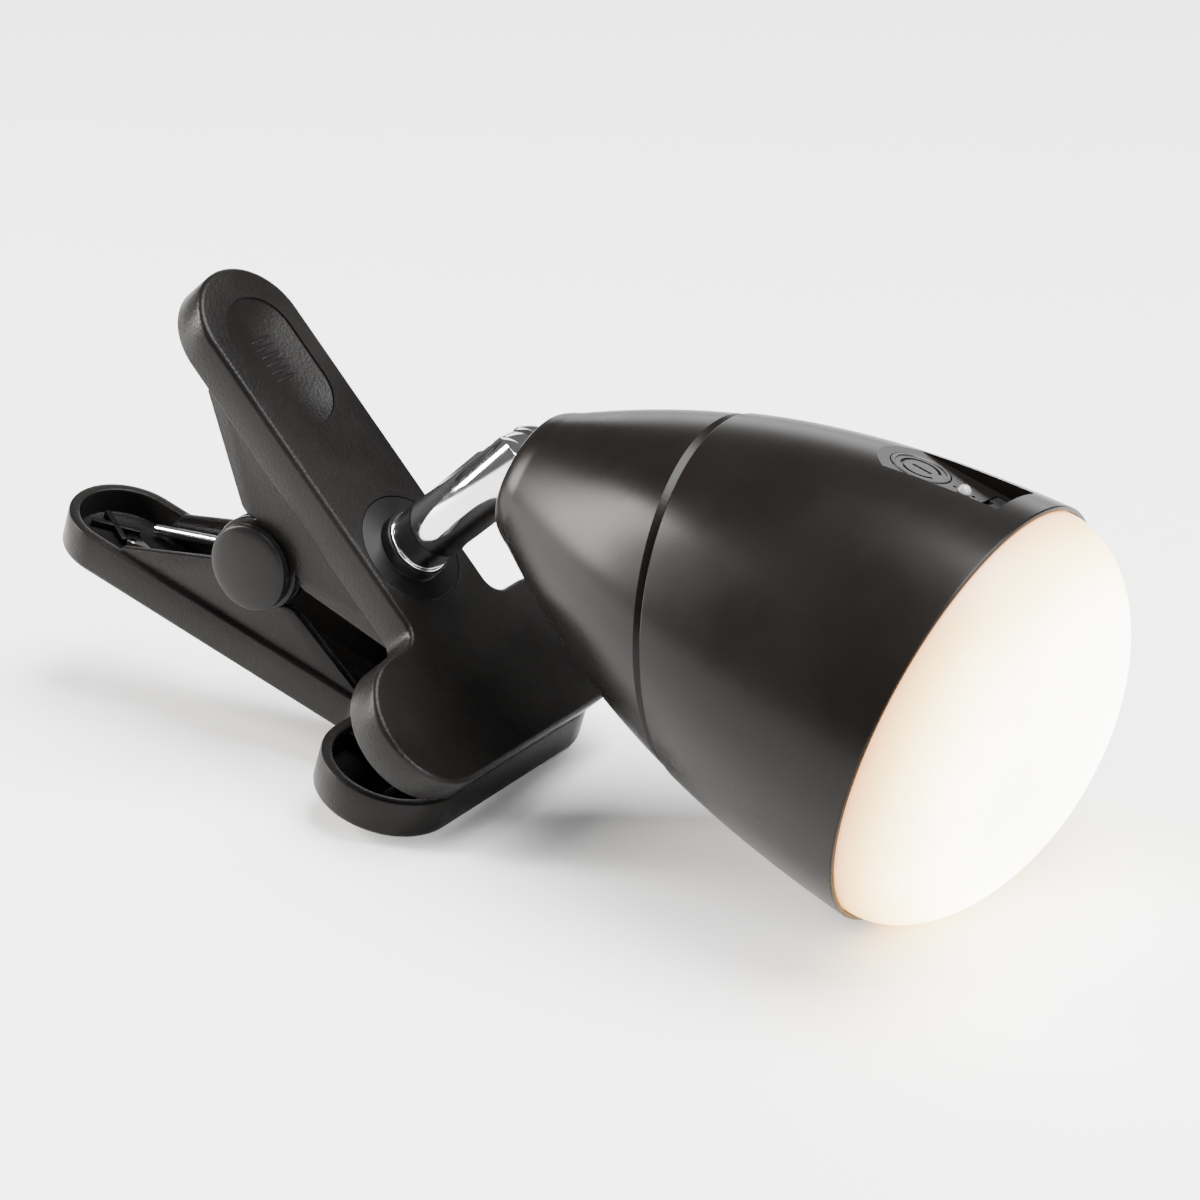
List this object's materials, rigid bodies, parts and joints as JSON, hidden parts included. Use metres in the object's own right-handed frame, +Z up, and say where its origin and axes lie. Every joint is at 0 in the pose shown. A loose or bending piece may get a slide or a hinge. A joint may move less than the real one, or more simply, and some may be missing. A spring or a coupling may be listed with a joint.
{
  "type": "clip-on reading lamp",
  "caption": "Clip-on reading lamp: sprung black clip, chrome arm that swivels, and a bullet-shaped head with a lit opal dome that tilts and turns",
  "frame": {"origin": "middle of the lamp's box in plan, on the surface that the lamp lies on", "axes": "+X from the clip towards the lamp head, +Y across the clip along its hinge pin, +Z up"},
  "size_m": [0.1831, 0.0674, 0.0741],
  "materials": {
    "lever_black": "satin black moulding with a fine grain",
    "cap_black": "smooth satin black",
    "shell_black": "smooth silk-gloss black",
    "button_black": "satin black",
    "switch_black": "matte black",
    "flap_rubber": "soft matte",
    "chrome": "mirror polished",
    "steel": "zinc plated",
    "spring_steel": "drawn wire, plated",
    "aluminium": "mill finish",
    "cell_sleeve": "shrink sleeve over a metal can",
    "clear_lens": "clear light pipe",
    "circuit_green": "solder mask",
    "white_plastic": "smooth white",
    "board_white": "white solder mask",
    "led_yellow": "phosphor",
    "lead_red": "insulated wire",
    "lead_yellow": "insulated wire",
    "opal": "opal, lit from inside"
  },
  "bodies": {
    "lower": {"lower_lever": "lever_black", "pivot_pin": "steel", "pivot_cap_near": "cap_black", "pivot_cap_far": "cap_black", "spring_coil": "spring_steel"},
    "upper": {"upper_lever": "lever_black", "spring_upper_leg": "spring_steel"},
    "arm": {"swivel_disc": "cap_black", "trim_ring": "chrome", "arm_tube": "chrome", "arm_stud": "steel", "swivel_washer": "steel", "swivel_nut": "steel", "tilt_screw": "chrome", "tilt_washer": "steel"},
    "knuckle": {"head_knuckle": "chrome", "nipple_washer": "steel", "nipple_nut": "steel"},
    "head": {"rear_shell": "shell_black", "front_shell": "shell_black", "indicator_lens": "clear_lens", "charge_socket": "steel", "control_board": "circuit_green", "push_switch": "switch_black", "board_screws": "steel", "battery_cell": "cell_sleeve", "cell_cradle": "white_plastic", "cradle_screws": "steel", "cell_leads": "lead_red", "led_carrier": "aluminium", "carrier_screws": "steel", "led_board": "board_white", "led_chips": "led_yellow", "led_leads": "lead_yellow", "reflector": "white_plastic", "diffuser": "opal"},
    "button": {"power_button": "button_black"},
    "flap": {"port_flap": "flap_rubber"}
  },
  "joints": [
    {"name": "clip_hinge", "type": "hinge", "parent": "lower", "child": "upper", "pos_m": [-0.0478, -0.0012, 0.03222], "axis": [0, -1, 0], "range_deg": [0, 50], "stiffness_Nm_per_rad": 0.5, "springref_deg": -51.57},
    {"name": "arm_swivel", "type": "hinge", "parent": "upper", "child": "arm", "pos_m": [-0.02555, -0.0012, 0.03644], "axis": [0.7341, 0, 0.679], "continuous": true},
    {"name": "head_tilt", "type": "hinge", "parent": "arm", "child": "knuckle", "pos_m": [-0.00573, -0.0012, 0.05478], "axis": [-0.0118, 0.9998, 0.0128], "range_deg": [-131, 13]},
    {"name": "head_roll", "type": "hinge", "parent": "knuckle", "child": "head", "pos_m": [-0.00304, -0.00116, 0.05399], "axis": [0.96, 0.015, -0.2795], "range_deg": [-90, 90]},
    {"name": "button_press", "type": "slide", "parent": "head", "child": "button", "axis": [-0.2723, -0.182, -0.9449], "range_m": [0, 0.0004], "stiffness_N_per_m": 800, "springref_m": -0.001},
    {"name": "flap_hinge", "type": "hinge", "parent": "head", "child": "flap", "pos_m": [0.07397, 0.00532, 0.06198], "axis": [-0.065, 0.9832, -0.1706], "range_deg": [0, 85]}
  ]
}
